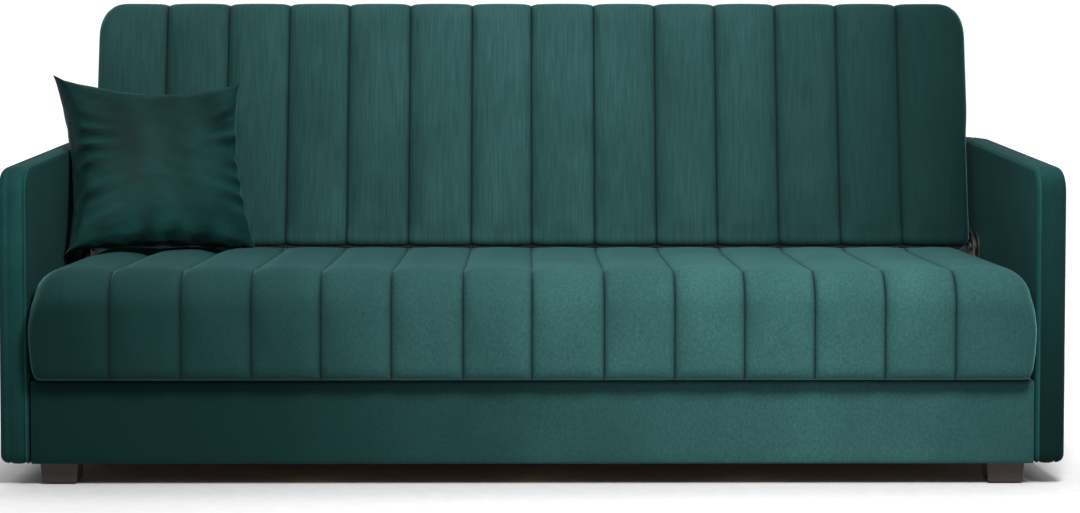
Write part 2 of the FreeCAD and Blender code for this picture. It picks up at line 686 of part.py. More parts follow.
def pillow_place():
    """Touching the arm with the middle of its left edge, the seat below, and the back behind."""
    turn = FreeCAD.Rotation(V(0, 0, 1), PILLOW_YAW)
    turn = turn.multiply(FreeCAD.Rotation(V(1, 0, 0), -PILLOW_LEAN))
    turn = turn.multiply(FreeCAD.Rotation(V(0, 1, 0), PILLOW_ROLL))
    left = turn.multVec(V(-PILLOW_WIDTH / 2 + PILLOW_HOLLOW, 0, 0))
    low = turn.multVec(V(-PILLOW_WIDTH / 2, 0, -PILLOW_HEIGHT / 2))
    x = -ARM_INNER + PILLOW_CLEARANCE - left.x
    z = BED_HEIGHT + PILLOW_CLEARANCE + PILLOW_LIFT - low.z
    corner = turn.multVec(V(PILLOW_WIDTH / 2, 0, PILLOW_HEIGHT / 2))
    lean = math.radians(BACK_LEAN)
    rise = z + corner.z - BED_HEIGHT
    y = HINGE_Y + (rise * math.sin(lean) - PILLOW_BACK_DISTANCE) / math.cos(lean) - corner.y
    return FreeCAD.Placement(V(x, y, z), turn)


def pillow_solid(inset):
    """The pillow moved in by inset, and pressed flat where it meets the seat, back and arm."""
    half = PILLOW_THICK / 2 - inset
    rings = [
        pillow_ring(PILLOW_FACE, -half, inset),
        pillow_ring(1.0, 0.0, inset),
        pillow_ring(PILLOW_FACE, half, inset),
    ]
    form = Part.makeLoft(rings, True, False)
    form.Placement = pillow_place()
    gap = PILLOW_CLEARANCE + inset
    reach = PAD_WIDTH
    under = box((-reach, reach), (HINGE_Y - reach, HINGE_Y + reach), (0.0, BED_HEIGHT + gap))
    behind = under.copy()
    behind.rotate(V(0, HINGE_Y, BED_HEIGHT), V(1, 0, 0), UPRIGHT_TURN)
    corners, radii = arm_outline()
    arm = side_prism(corners, radii, mirrored(-1, (ARM_INNER, ARM_OUTER)), -gap)
    return form.cut([under, behind, arm])


pillow_outer = pillow_solid(0.0)
pillow_inner = pillow_solid(COVER_THICK)
zip_length, zip_width = PILLOW_ZIP
zip_zone = box(
    (-zip_length / 2, zip_length / 2),
    (-zip_width / 2, zip_width / 2),
    (-PILLOW_HEIGHT / 2, -PILLOW_HEIGHT / 4),
)
zip_zone.Placement = pillow_place()
pillow_skin = pillow_outer.cut(pillow_inner)
nodes["pillow_cover"] = pillow_skin.cut(zip_zone)
nodes["pillow_zip"] = pillow_skin.common(zip_zone)
nodes["pillow_filling"] = pillow_inner

os.makedirs("parts", exist_ok=True)
for name, shape in nodes.items():
    shape.exportStep(f"parts/{name}.step")
    print(name, len(shape.Solids), round(shape.Volume / 1000.0), "cm3", shape.isValid())
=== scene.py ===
import json
import math

import bpy
import numpy as np
from mathutils import Euler, Matrix, Vector


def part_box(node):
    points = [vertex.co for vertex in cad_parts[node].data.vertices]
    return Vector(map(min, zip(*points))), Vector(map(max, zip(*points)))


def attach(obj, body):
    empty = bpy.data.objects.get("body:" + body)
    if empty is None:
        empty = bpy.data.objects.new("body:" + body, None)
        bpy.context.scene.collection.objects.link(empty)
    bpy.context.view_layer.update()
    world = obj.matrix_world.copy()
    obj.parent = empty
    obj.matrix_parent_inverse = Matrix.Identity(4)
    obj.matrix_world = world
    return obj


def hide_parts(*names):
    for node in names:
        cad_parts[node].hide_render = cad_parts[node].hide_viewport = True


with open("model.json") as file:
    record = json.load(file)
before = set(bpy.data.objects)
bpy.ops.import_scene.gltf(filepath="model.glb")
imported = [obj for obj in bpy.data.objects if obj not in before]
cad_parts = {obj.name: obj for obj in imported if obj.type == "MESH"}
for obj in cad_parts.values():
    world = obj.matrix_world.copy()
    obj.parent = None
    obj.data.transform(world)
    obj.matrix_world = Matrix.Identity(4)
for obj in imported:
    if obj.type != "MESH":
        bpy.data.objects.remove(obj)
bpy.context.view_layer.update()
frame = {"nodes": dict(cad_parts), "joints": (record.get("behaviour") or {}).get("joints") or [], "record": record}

# Places read from the frame, in metres


def corners_of(node):
    low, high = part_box(node)
    return np.array(low), np.array(high)


SEAT_LOW, SEAT_HIGH = corners_of("seat_cover")
JOINTS = {joint["name"]: joint for joint in frame["joints"]}
HINGE = np.array(JOINTS["seat_lift"]["pos_m"])
UPRIGHT = math.radians(78.2)  # the made-up bed to the upright back
PAD_END = SEAT_HIGH[0]
CHANNELS = 14
CHANNEL = 0.134
RNG = np.random.default_rng(7)


# Mesh helpers


def new_object(name, vertices, faces, material, smooth=True):
    mesh = bpy.data.meshes.new(name)
    mesh.from_pydata([tuple(v) for v in vertices], [], faces)
    mesh.validate()
    mesh.update()
    made = bpy.data.objects.new(name, mesh)
    bpy.context.scene.collection.objects.link(made)
    made.data.materials.append(material)
    if smooth:
        made.data.polygons.foreach_set("use_smooth", [True] * len(made.data.polygons))
    return made


def vertex_array(piece):
    flat = np.empty(len(piece.data.vertices) * 3)
    piece.data.vertices.foreach_get("co", flat)
    return flat.reshape(-1, 3)


def set_vertices(piece, points):
    piece.data.vertices.foreach_set("co", np.asarray(points).ravel())
    piece.data.update()


def rounded_outline(corners, radii, step):
    """Points about step apart round a closed outline with round corners, and their outward normals."""
    corners = [np.array(c, float) for c in corners]
    centre = sum(corners) / len(corners)
    points, normals = [], []
    count = len(corners)
    joints = []
    for i, radius in enumerate(radii):
        here = corners[i]
        back = corners[i - 1] - here
        ahead = corners[(i + 1) % count] - here
        back /= np.linalg.norm(back)
        ahead /= np.linalg.norm(ahead)
        half = math.acos(np.clip(back @ ahead, -1, 1)) / 2
        reach = radius / math.tan(half)
        middle = here + (back + ahead) / np.linalg.norm(back + ahead) * radius / math.sin(half)
        joints.append((here + back * reach, here + ahead * reach, middle, radius))
    for i, (start, end, middle, radius) in enumerate(joints):
        first = math.atan2(*(start - middle)[::-1])
        last = math.atan2(*(end - middle)[::-1])
        turn = (last - first + math.pi) % (2 * math.pi) - math.pi
        pieces = max(3, int(abs(turn) * radius / step))
        for k in range(pieces + 1):
            angle = first + turn * k / pieces
            normal = np.array([math.cos(angle), math.sin(angle)])
            points.append(middle + normal * radius)
            normals.append(normal)
        following = joints[(i + 1) % count][0]
        run = following - end
        length = np.linalg.norm(run)
        outward = np.array([run[1], -run[0]]) / length
        if outward @ (end - centre) < 0:
            outward = -outward
        pieces = max(2, int(length / step))
        for k in range(1, pieces):
            points.append(end + run * k / pieces)
            normals.append(outward)
    return np.array(points), np.array(normals)


def grid_faces(rows, columns):
    """Quads of a tube: columns along it, rows round it, closed round the rows."""
    faces = []
    for c in range(columns - 1):
        for r in range(rows):
            n = (r + 1) % rows
            faces.append((c * rows + r, c * rows + n, (c + 1) * rows + n, (c + 1) * rows + r))
    return faces


def capped_tube(name, columns, material):
    """A closed form through a row of loops, each an (n, 3) array; both ends close on a middle point."""
    rows = len(columns[0])
    vertices = [p for loop in columns for p in loop]
    faces = grid_faces(rows, len(columns))
    for loop_index, flip in ((0, True), (len(columns) - 1, False)):
        middle = len(vertices)
        vertices.append(columns[loop_index].mean(axis=0))
        for r in range(rows):
            a = loop_index * rows + r
            b = loop_index * rows + (r + 1) % rows
            faces.append((b, a, middle) if flip else (a, b, middle))
    made = new_object(name, vertices, faces, material)
    face_outwards(made)
    return made


def face_outwards(piece):
    """Turn every face outwards, judged by the enclosed volume."""
    points = vertex_array(piece)
    volume = 0.0
    for polygon in piece.data.polygons:
        ids = polygon.vertices
        a = points[ids[0]]
        for i in range(1, len(ids) - 1):
            volume += np.dot(a, np.cross(points[ids[i]], points[ids[i + 1]]))
    if volume < 0:
        piece.data.flip_normals()


def smoothstep(x, low, high):
    t = np.clip((x - low) / (high - low), 0, 1)
    return t * t * (3 - 2 * t)


def wave_noise(x, y, scale, seed):
    """Smooth noise in -1..1 made of a few sine waves."""
    draw = np.random.default_rng(seed)
    total = np.zeros_like(np.asarray(x, float) + np.asarray(y, float))
    for _ in range(6):
        angle = draw.uniform(0, 2 * math.pi)
        size = scale * draw.uniform(0.6, 1.6)
        phase = draw.uniform(0, 2 * math.pi)
        total += np.sin((x * math.cos(angle) + y * math.sin(angle)) / size * 2 * math.pi + phase)
    return total / 6


# Materials


class Nodes:
    """A small helper that adds and links shader nodes."""

    def __init__(self, name):
        self.material = bpy.data.materials.new(name)
        self.material.use_nodes = True
        self.tree = self.material.node_tree
        self.shader = self.tree.nodes["Principled BSDF"]
        self.coords = self.add("ShaderNodeTexCoord").outputs["Object"]

    def add(self, kind, **values):
        node = self.tree.nodes.new(kind)
        for key, value in values.items():
            setattr(node, key, value)
        return node

    def link(self, source, target):
        self.tree.links.new(source, target)

    def noise(self, scale, stretch=(1, 1, 1), detail=3.0, roughness=0.5):
        mapping = self.add("ShaderNodeMapping")
        mapping.inputs["Scale"].default_value = stretch
        self.link(self.coords, mapping.inputs["Vector"])
        noise = self.add("ShaderNodeTexNoise")
        noise.inputs["Scale"].default_value = scale
        noise.inputs["Detail"].default_value = detail
        noise.inputs["Roughness"].default_value = roughness
        self.link(mapping.outputs["Vector"], noise.inputs["Vector"])
        return noise.outputs["Fac"]

    def ramp(self, value, stops):
        ramp = self.add("ShaderNodeValToRGB")
        elements = ramp.color_ramp.elements
        while len(elements) < len(stops):
            elements.new(0.5)
        for element, (place, colour) in zip(elements, stops):
            element.position = place
            element.color = (*colour, 1) if len(colour) == 3 else colour
        self.link(value, ramp.inputs["Fac"])
        return ramp.outputs["Color"]

    def mix(self, factor, a, b, blend="MIX"):
        mix = self.add("ShaderNodeMix", data_type="RGBA", blend_type=blend)
        for value, socket in ((factor, 0), (a, 6), (b, 7)):
            if isinstance(value, bpy.types.NodeSocket):
                self.link(value, mix.inputs[socket])
            elif isinstance(value, tuple):
                mix.inputs[socket].default_value = (*value, 1)
            else:
                mix.inputs[socket].default_value = value
        return mix.outputs[2]

    def bump(self, height, strength, distance, under=None):
        bump = self.add("ShaderNodeBump")
        bump.inputs["Strength"].default_value = strength
        bump.inputs["Distance"].default_value = distance
        self.link(height, bump.inputs["Height"])
        if under is not None:
            self.link(under, bump.inputs["Normal"])
        return bump.outputs["Normal"]

    def finish(self, colour, roughness, normal=None, **sockets):
        for value, name in ((colour, "Base Color"), (roughness, "Roughness"), (normal, "Normal")):
            if isinstance(value, bpy.types.NodeSocket):
                self.link(value, self.shader.inputs[name])
            elif value is not None:
                if isinstance(value, tuple):
                    value = (*value, 1)
                self.shader.inputs[name].default_value = value
        for key, value in sockets.items():
            self.shader.inputs[key.replace("_", " ")].default_value = value
        return self.material


def scaled(colour, factor):
    return tuple(c * factor for c in colour)


def velvet(name, depth, streaks, contrast, sheen, roughness=0.8, hue=None):
    """Short-pile velvet: brushed streaks, random patches, painted shade partly for the light's fall-off and partly
    where the pile lies another way, sheen, painted shade along the seams.
    """
    n = Nodes(name)
    colour = scaled(hue or GREEN, depth)
    brushed = n.noise(1.0, streaks, detail=3.0, roughness=0.6)
    tone = n.ramp(brushed, [(0.3, scaled(colour, 1 - contrast)), (0.7, scaled(colour, 1 + contrast))])
    blotch = n.noise(4.0, (1.3, 1, 1), detail=3.0)
    patch = n.ramp(blotch, [(0.35, (0.84, 0.86, 0.86)), (0.65, (1.12, 1.1, 1.1))])
    tone = n.mix(1.0, tone, patch, "MULTIPLY")
    # Painted shade: an attribute darkens the velvet towards its darkest tone, partly for the light's fall-off and
    # partly where the pile lies another way
    pile_and_shade = n.add("ShaderNodeAttribute", attribute_name="pile_and_shade").outputs["Fac"]
    tone = n.mix(pile_and_shade, tone, scaled(DARK_PILE_AND_SHADE, depth))
    # Painted shade: an attribute darkens the velvet to a tenth of its colour along each seam
    groove_shade = n.add("ShaderNodeAttribute", attribute_name="groove_shade").outputs["Fac"]
    tone = n.mix(groove_shade, tone, scaled(colour, 0.10))
    pile = n.noise(900.0, (1, 1, 1), detail=2.0)
    coarse = n.noise(1.0, scaled(streaks, 1.2), detail=2.0)
    normal = n.bump(pile, 0.22, 0.0008)
    normal = n.bump(coarse, 0.10, 0.0015, normal)
    return n.finish(
        tone,
        roughness,
        normal,
        Sheen_Weight=sheen,
        Sheen_Roughness=0.4,
        Sheen_Tint=(0.38, 0.97, 0.96, 1),
        Specular_IOR_Level=0.05,
    )


def wood(name, dark, light, grain=(6, 60, 60), roughness=0.55):
    n = Nodes(name)
    lines = n.noise(1.0, grain, detail=6.0, roughness=0.65)
    tone = n.ramp(lines, [(0.3, dark), (0.7, light)])
    fine = n.noise(1.0, scaled(grain, 8), detail=3.0)
    return n.finish(tone, roughness, n.bump(fine, 0.2, 0.0005))


def chips(name, dark, light):
    """Chipboard: flakes of several tones."""
    n = Nodes(name)
    flakes = n.add("ShaderNodeTexVoronoi")
    flakes.inputs["Scale"].default_value = 220.0
    n.link(n.coords, flakes.inputs["Vector"])
    tone = n.ramp(flakes.outputs["Color"], [(0.2, dark), (0.8, light)])
    return n.finish(tone, 0.85, n.bump(flakes.outputs["Distance"], 0.3, 0.0006))


def cloth(name, dark, light, scale, roughness=0.9, sheen=0.1):
    """Thin plain cloth or felt."""
    n = Nodes(name)
    fibres = n.noise(scale, (1, 1, 1), detail=5.0, roughness=0.7)
    tone = n.ramp(fibres, [(0.3, dark), (0.7, light)])
    return n.finish(tone, roughness, n.bump(fibres, 0.4, 0.0008), Sheen_Weight=sheen)


def metal(name, colour, roughness, metallic=1.0):
    n = Nodes(name)
    worn = n.noise(90.0, (1, 1, 1), detail=4.0)
    tone = n.ramp(worn, [(0.3, scaled(colour, 0.8)), (0.7, scaled(colour, 1.1))])
    rough = n.ramp(worn, [(0.3, (roughness,) * 3), (0.7, (roughness + 0.15,) * 3)])
    return n.finish(tone, rough, n.bump(worn, 0.1, 0.0003), Metallic=metallic)


def plastic(name, colour, roughness):
    n = Nodes(name)
    grain = n.noise(700.0, (1, 1, 1), detail=2.0)
    tone = n.ramp(grain, [(0.3, scaled(colour, 0.9)), (0.7, scaled(colour, 1.1))])
    return n.finish(tone, roughness, n.bump(grain, 0.15, 0.0003))


GREEN = (0.0120, 0.040, 0.0385)
SHADED = (0.0060, 0.040, 0.0375)
DARK_PILE_AND_SHADE = (0.0009, 0.008, 0.0077)  # the darkest tone the velvet is mixed towards: painted shade, partly the same pile seen from its dark side
UPRIGHT_STREAKS = (240, 14, 14)  # pile brushed up and down the back
FINE_STREAKS = (260, 170, 170)
ARM_STREAKS = (55, 150, 25)
SATIN_STREAKS = (18, 18, 40)
BACK_VELVET = velvet("back_velvet", 1.38, UPRIGHT_STREAKS, 0.2, 0.15)
SEAT_VELVET = velvet("seat_velvet", 1.6, FINE_STREAKS, 0.2, 0.2)
ARM_VELVET = velvet("arm_velvet", 1.0, ARM_STREAKS, 0.12, 0.03, hue=SHADED)
PILLOW_VELVET = velvet("pillow_velvet", 0.72, SATIN_STREAKS, 0.2, 0.12, 0.6, hue=SHADED)
SLOTS = {
    "lining": cloth("lining", (0.008, 0.008, 0.009), (0.03, 0.03, 0.032), 500.0),
    "foam": cloth("foam", (0.62, 0.55, 0.36), (0.8, 0.74, 0.52), 900.0),
    "filling": cloth("filling", (0.75, 0.75, 0.73), (0.9, 0.9, 0.88), 300.0),
    "pine": wood("pine", (0.42, 0.26, 0.13), (0.62, 0.44, 0.25)),
    "chipboard": chips("chipboard", (0.3, 0.2, 0.1), (0.62, 0.47, 0.3)),
    "hardboard": wood("hardboard", (0.16, 0.09, 0.045), (0.24, 0.14, 0.075), (30, 30, 30), 0.5),
    "foot_wood": wood("foot_wood", (0.010, 0.005, 0.0035), (0.026, 0.014, 0.010), (9, 9, 70), 0.5),
    "glide_plastic": plastic("glide_plastic", (0.02, 0.02, 0.02), 0.5),
    "felt": cloth("felt", (0.12, 0.11, 0.1), (0.26, 0.24, 0.22), 600.0),
    "webbing": cloth("webbing", (0.5, 0.47, 0.4), (0.7, 0.67, 0.6), 400.0),
    "zip_plastic": plastic("zip_plastic", (0.003, 0.012, 0.012), 0.7),
    "spring_steel": metal("spring_steel", (0.35, 0.35, 0.36), 0.35),
    "zinc_steel": metal("zinc_steel", (0.62, 0.61, 0.57), 0.3),
    "plate_steel": metal("plate_steel", (0.012, 0.012, 0.013), 0.6, 0.2),
    "velvet": SEAT_VELVET,
    "pillow_velvet": PILLOW_VELVET,
}
NODE_SLOT = {part["node"]: part["material_slot"] for part in frame["record"]["subparts"]}
for node, piece in frame["nodes"].items():
    for material_slot in piece.material_slots:
        material_slot.material = SLOTS[NODE_SLOT[node]]


# Cloth


def inflate(piece, pins, pressure, slack, limit, stiffness=12.0, bending=0.4, frames=20):
    """Let the cloth between the pins swell; limit is how far any point may move."""
    start = vertex_array(piece)
    group = piece.vertex_groups.new(name="pins")
    group.add([int(i) for i in np.nonzero(pins)[0]], 1.0, "REPLACE")
    modifier = piece.modifiers.new("cloth", "CLOTH")
    settings = modifier.settings
    settings.quality = 6
    settings.mass = 0.25
    settings.tension_stiffness = stiffness
    settings.compression_stiffness = stiffness
    settings.shear_stiffness = stiffness / 2
    settings.bending_stiffness = bending
    settings.use_pressure = True
    settings.uniform_pressure_force = pressure
    settings.shrink_min = -slack
    settings.effector_weights.gravity = 0.0
    settings.vertex_group_mass = "pins"
    modifier.collision_settings.use_collision = False
    modifier.point_cache.frame_start = 1
    modifier.point_cache.frame_end = frames
    scene = bpy.context.scene
    for number in range(1, frames + 1):
        scene.frame_set(number)
    evaluated = piece.evaluated_get(bpy.context.evaluated_depsgraph_get())
    moved = np.empty(len(piece.data.vertices) * 3)
    evaluated.data.vertices.foreach_get("co", moved)
    moved = moved.reshape(-1, 3)
    piece.modifiers.remove(modifier)
    scene.frame_set(1)
    shift = moved - start
    length = np.linalg.norm(shift, axis=1)
    scale = np.where(length > limit, limit / np.maximum(length, 1e-9), 1.0)
    set_vertices(piece, start + shift * scale[:, None])


# Channelled pads, built lying flat with the hinge line at the origin: a is the distance from the
# hinge line, b the height above the sleeping surface


def seam_places():
    """The seams' places across the pad, each a little off its even place."""
    even = (np.arange(CHANNELS - 1) - (CHANNELS - 2) / 2) * CHANNEL
    return even + RNG.uniform(-0.002, 0.002, len(even))


def finer(block, closed):
    """Twice the points along the first axis, on a smooth curve through the old ones."""
    if closed:
        before, after = np.roll(block, 1, 0), np.roll(block, -1, 0)
        beyond = np.roll(block, -2, 0)
    else:
        padded = np.concatenate([2 * block[:1] - block[1:2], block, 2 * block[-1:] - block[-2:-1]])
        before, block = padded[:-3], padded[1:-2]
        after, beyond = padded[2:-1], padded[3:]
    between = (9 * (block + after) - before - beyond) / 16
    mixed = np.empty((2 * len(block), *block.shape[1:]))
    mixed[0::2], mixed[1::2] = block, between
    return mixed if closed else np.concatenate([mixed, after[-1:]])


def tube_object(name, grid, material):
    """An open tube through a (columns, rows, 3) grid."""
    made = new_object(name, grid.reshape(-1, 3), grid_faces(grid.shape[1], grid.shape[0]), material)
    face_outwards(made)
    return made


class Pad:
    """One channelled pad: its outline in (a, b), seams across it, and the cloth between them."""

    def __init__(self, name, body, material, length, thick, radii, groove, corner_radius, end_radii):
        self.name, self.body, self.material = name, body, material
        self.end_radii = end_radii
        self.length, self.thick = length, thick
        self.groove, self.corner_radius = groove, corner_radius
        near = 0.003
        corners = [(near, 0.0), (length, 0.0), (length, -thick), (near, -thick)]
        self.loop, self.normals = rounded_outline(corners, radii, ROW_STEP)
        a, b = self.loop.T
        self.under = smoothstep(-b, thick - 0.012, thick - 0.001)
        self.sides = smoothstep(a, near + 0.02, near + 0.05)
        self.near = near
        self.mouth_end = PAD_END - max(MOUTH, max(end_radii) + 0.001)

    def place(self, x, sink):
        """The loop at one place across the pad, sunk below the outline by sink."""
        a, b = self.loop.T
        far = smoothstep(a, self.length - 0.12, self.length - 0.02)
        la = a - self.recede(abs(x)) * far - self.normals[:, 0] * sink
        lb = b - self.normals[:, 1] * sink
        mouth = (a > self.near + MOUTH) & (a < self.length - MOUTH) & (self.under > 0.5)
        lb = lb + np.where(mouth & (abs(x) < self.mouth_end), MOUTH_RISE, 0.0)
        return np.stack([np.full_like(la, x), la, lb], axis=1)

    def recede(self, x):
        """How far the round corner of the pad stands back at x."""
        over = min(max(0.0, x - (PAD_END - self.corner_radius)), self.corner_radius)
        return self.corner_radius - math.sqrt(self.corner_radius**2 - over**2)

    def bulge(self, ring):
        """How far the soft end of the seat stands out, away from the hinge plates."""
        half = self.thick / 2
        round_out = np.maximum(0.0, 1 - ((ring[:, 2] + half) / half) ** 2)
        return END_BULGE * round_out * smoothstep(ring[:, 1], PLATE_END, PLATE_END + 0.10)

    def channel(self, low, high, low_seam, high_seam):
        """Columns from one seam to the next."""
        columns = []
        steps = COLUMNS
        for k in range(steps + 1):
            t = 0.5 - 0.5 * math.cos(math.pi * k / steps)
            x = low + (high - low) * t
            crown = CROWN * (2 * t - 1) ** 2 if low_seam and high_seam else 0.0
            if low_seam and not high_seam:
                crown = CROWN * (1 - t) ** 2
            if high_seam and not low_seam:
                crown = CROWN * t**2
            cut = 0.0
            if low_seam:
                cut = max(cut, self.groove * math.exp(-(x - low) / GROOVE_WIDTH))
            if high_seam:
                cut = max(cut, self.groove * math.exp(-(high - x) / GROOVE_WIDTH))
            rim = 0.0
            if self.body == "backrest":
                rim = smoothstep(self.loop[:, 0], self.length - RIM_WIDTH, self.length)
            sink = (crown + cut) * (1 - self.under) * (0.35 + 0.65 * self.sides) * (1 - RIM_EASE * rim)
            columns.append(self.place(x, sink))
        return np.array(columns)

    def build(self, seams):
        flat_end = PAD_END - max(self.end_radii)
        edges = [-flat_end, *seams, flat_end]
        rows = len(self.loop)
        blocks = []
        for i, (low, high) in enumerate(zip(edges[:-1], edges[1:])):
            blocks.append(self.channel(low, high, i > 0, i < len(edges) - 2))
        grid = np.concatenate([blocks[0], *[b[1:] for b in blocks[1:]]])
        pins = np.zeros((len(grid), rows), bool)
        pins[::COLUMNS] = True
        pins[:, self.under > 0.3] = True
        sheet = tube_object(self.name, grid, self.material)
        inflate(sheet, pins.ravel(), *SWELL)
        swell = vertex_array(sheet).reshape(grid.shape) - grid
        for _ in range(6):  # the stuffing evens the cloth out along each channel
            swell = (np.roll(swell, 1, 1) + 2 * swell + np.roll(swell, -1, 1)) / 4
        grid = grid + swell * self.sides[None, :, None]
        bpy.data.objects.remove(sheet)
        parts = []
        for i in range(len(blocks)):
            part = finer(grid[i * COLUMNS : (i + 1) * COLUMNS + 1], False)
            parts.append(part if i == 0 else part[1:])
        grid = finer(np.concatenate(parts).transpose(1, 0, 2), True).transpose(1, 0, 2)
        return self.close(grid, seams)

    def close(self, grid, seams):
        """Round the two ends and close them."""
        middle = np.array([(self.near + self.length) / 2, -self.thick / 2])
        columns = list(grid)
        outline = finer(np.stack([self.loop, self.normals], axis=2), True)
        loop, normals = outline[:, :, 0], outline[:, :, 1]
        normals = normals / np.linalg.norm(normals, axis=1)[:, None]
        top_radius, low_radius = self.end_radii
        most = max(self.end_radii)
        topness = smoothstep(loop[:, 1], -0.6 * self.thick, -0.15 * self.thick)
        radius = low_radius + (top_radius - low_radius) * topness
        far = smoothstep(loop[:, 0], self.length - 0.12, self.length - 0.02)
        for sign, index in ((-1, 0), (1, -1)):
            last = columns[index]
            ends = []
            for k in range(1, END_STEPS + 1):
                ring = last.copy()
                reach = most * math.sin(math.pi / 2 * k / END_STEPS)
                x = PAD_END - most + reach
                over = np.maximum(reach - (most - radius), 0.0)
                ring[:, 1:] -= normals * (radius - np.sqrt(np.maximum(radius**2 - over**2, 0)))[:, None]
                ring[:, 1] -= (self.recede(x) - self.recede(PAD_END - most)) * far
                ring[:, 0] = sign * (x + self.bulge(ring) * reach / most)
                ends.append(ring)
            for share in (0.97, 0.9, 0.78, 0.6, 0.4, 0.2):
                ring = ends[END_STEPS - 1].copy()
                ring[:, 1:] = middle + (ring[:, 1:] - middle) * share
                ring[:, 0] = sign * (PAD_END + self.bulge(ring))
                ends.append(ring)
            columns = ends[::-1] + columns if index == 0 else columns + ends
        made = capped_tube(self.name, columns, self.material)
        points = vertex_array(made)
        # Painted shade along the seams: the velvet darkens within a few millimetres of each seam, above the
        # underside
        away = np.abs(points[:, :1] - np.array(seams)[None, :]).min(axis=1)
        depth = np.exp(-away / SEAM_SHADE) * (points[:, 2] > -self.thick + 0.004)
        add_attribute(made, "groove_shade", depth)
        return made

    def finish(self, seams, away, turn, *nodes):
        piece = self.build(seams)
        # Painted shade across the pad, partly where the pile lies another way
        paint_pile_and_shade(piece, *PILE_AND_SHADE[self.name])
        place_pad(piece, away, turn)
        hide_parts(*nodes)
        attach(piece, self.body)


def paint_pile_and_shade(piece, shares, top_shade_shares=None):
    """How much painted shade darkens the velvet at even places from left to right: partly the light's fall-off
    across the sofa, partly where the pile lies the other way.
    """
    points = vertex_array(piece)
    edge = 0.03 * wave_noise(points[:, 0], points[:, 2], 0.5, 3)
    places = np.linspace(-PAD_END, PAD_END, len(shares))
    pile_and_shade = np.interp(points[:, 0] + edge, places, shares)
    if top_shade_shares:
        above = smoothstep(points[:, 2], -0.09, -0.02)
        pile_and_shade += (np.interp(points[:, 0] + edge, places, top_shade_shares) - pile_and_shade) * above
    add_attribute(piece, "pile_and_shade", pile_and_shade)


def add_attribute(piece, name, values):
    layer = piece.data.attributes.new(name, "FLOAT", "POINT")
    layer.data.foreach_set("value", np.asarray(values, np.float32))


def place_pad(piece, away, turn):
    """From the flat build to the sofa: away is -1 for the seat, and the back turns up by turn."""
    points = vertex_array(piece)
    y, z = points[:, 1] * away, points[:, 2]
    c, s = math.cos(turn), math.sin(turn)
    moved = np.stack([points[:, 0], HINGE[1] + y * c - z * s, HINGE[2] + y * s + z * c], axis=1)
    set_vertices(piece, moved)
    face_outwards(piece)


# Painted shade at nine even places from left to right, and for the seat also on its top, partly for the light's
# fall-off across the sofa and partly where the pile lies another way. These shares are tuned to a studio picture's
# brightness.
PILE_AND_SHADE = {
    "seat_pad": [
        (1.0, 0.82, 0.62, 0.35, 0.04, 0.0, 0.0, 0.02, 0.5),
        (0.75, 0.65, 0.52, 0.42, 0.2, 0.0, 0.0, 0.0, 0.35),
    ],
    "back_pad": [(0.35, 0.25, 0.2, 0.1, 0.02, 0.12, 0.3, 0.62, 0.95)],
    "box_front": [(1.0, 0.95, 0.88, 0.7, 0.42, 0.25, 0.08, 0.08, 0.4)],
}
ROW_STEP = 0.014
COLUMNS = 10
CROWN = 0.002
RIM_WIDTH = 0.03  # the back's far edge, where the channels are shallower
RIM_EASE = 0.7
GROOVE_WIDTH = 0.007
SEAM_SHADE = 0.0032
END_STEPS = 9
END_BULGE = 0.010
PLATE_END = 0.215  # the hinge plates reach this far from the hinge line
MOUTH = 0.0555
MOUTH_RISE = 0.004
SWELL = (2.5, 0.008, 0.004)  # pressure, spare cloth, how far a point may move
seams = seam_places()
SEAT_LENGTH = HINGE[1] - SEAT_LOW[1]
SEAT_THICK = SEAT_HIGH[2] - SEAT_LOW[2]
BACK_LENGTH = 0.548
BACK_THICK = 0.150

# Radii in the outline: near upper, far upper, far lower, near lower edge; end radii: above, below
seat = Pad(
    "seat_pad",
    "seat",
    SEAT_VELVET,
    SEAT_LENGTH,
    SEAT_THICK,
    radii=(0.016, 0.075, 0.025, 0.012),
    groove=0.0065,
    corner_radius=0.018,
    end_radii=(0.058, 0.010),
)
seat.finish(seams, -1, 0.0, "seat_cover", "seat_foam", "seat_felt")
back = Pad(
    "back_pad",
    "backrest",
    BACK_VELVET,
    BACK_LENGTH,
    BACK_THICK,
    radii=(0.016, 0.04, 0.04, 0.012),
    groove=0.011,
    corner_radius=0.050,
    end_radii=(0.020, 0.020),
)
back.finish(seams, 1, UPRIGHT, "back_cover", "back_foam")


# Arms and the front of the box: upholstered slabs


def slab_columns(loop, normals, start, end, edges, crown, groove):
    """Loops across an upholstered slab with round edges, a seam just inside each, and a slight crown."""
    rows = []
    for place, sign, edge in ((start, 1, edges[0]), (end, -1, edges[1])):
        inner = place + sign * edge
        turn = [math.pi / 2 * k / 8 for k in range(1, 9)]
        side = [(inner + sign * 0.006, 0.0), (inner + sign * 0.002, groove), (inner - sign * 0.001, 0.0)]
        side += [(inner - sign * edge * math.sin(t), edge * (1 - math.cos(t))) for t in turn]
        rows.append(side)
    left, right = rows[0][::-1], rows[1]
    low, high = left[-1][0], right[0][0]
    middle = [(low + (high - low) * t, -crown * 4 * t * (1 - t)) for t in (0.25, 0.5, 0.75)]
    columns = []
    for x, sink in left + middle + right:
        columns.append(np.column_stack([np.full(len(loop), x), loop - normals * sink]))
    return columns


def close_slab(name, columns, crown, material):
    """Close both ends of a slab with slightly crowned faces."""
    centre = columns[0][:, 1:].mean(axis=0)
    for index, sign in ((0, -1), (-1, 1)):
        last = columns[index]
        ends = []
        for share in (0.985, 0.93, 0.8, 0.6, 0.4, 0.2):
            ring = last.copy()
            ring[:, 1:] = centre + (last[:, 1:] - centre) * share
            ring[:, 0] += sign * crown * (1 - share)
            ends.append(ring)
        columns = ends[::-1] + columns if index == 0 else columns + ends
    return capped_tube(name, columns, material)


def seam_path(loop, x):
    return np.column_stack([np.full(len(loop), x), loop])


